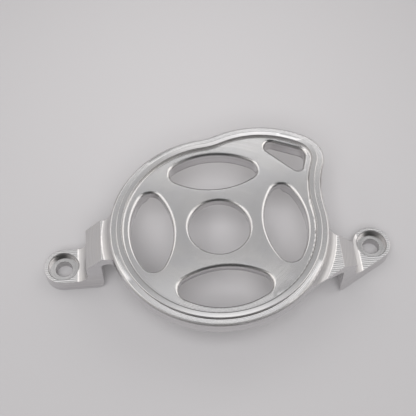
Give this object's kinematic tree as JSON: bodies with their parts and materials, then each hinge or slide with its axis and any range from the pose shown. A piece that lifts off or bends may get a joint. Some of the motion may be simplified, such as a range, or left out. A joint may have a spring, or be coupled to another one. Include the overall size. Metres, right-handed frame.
{
  "type": "motor cover",
  "caption": "Machined aluminium motor guard: an open disc with a stepped rim and a lobe, carried on cranked ears with counterbored bolt holes.",
  "frame": {"origin": "centre of the object's box in plan, on the plane of the feet's lower faces", "axes": "+X from the square ear to the slanted ear, along the line of the bolt holes; +Y towards the lobe; +Z from the feet to the disc's outer face"},
  "size_m": [0.1289, 0.0824, 0.0244],
  "materials": {
    "machined_aluminium": "satin machined and anodised silver"
  },
  "bodies": {
    "root": {"motor_cover": "machined_aluminium"}
  },
  "joints": []
}
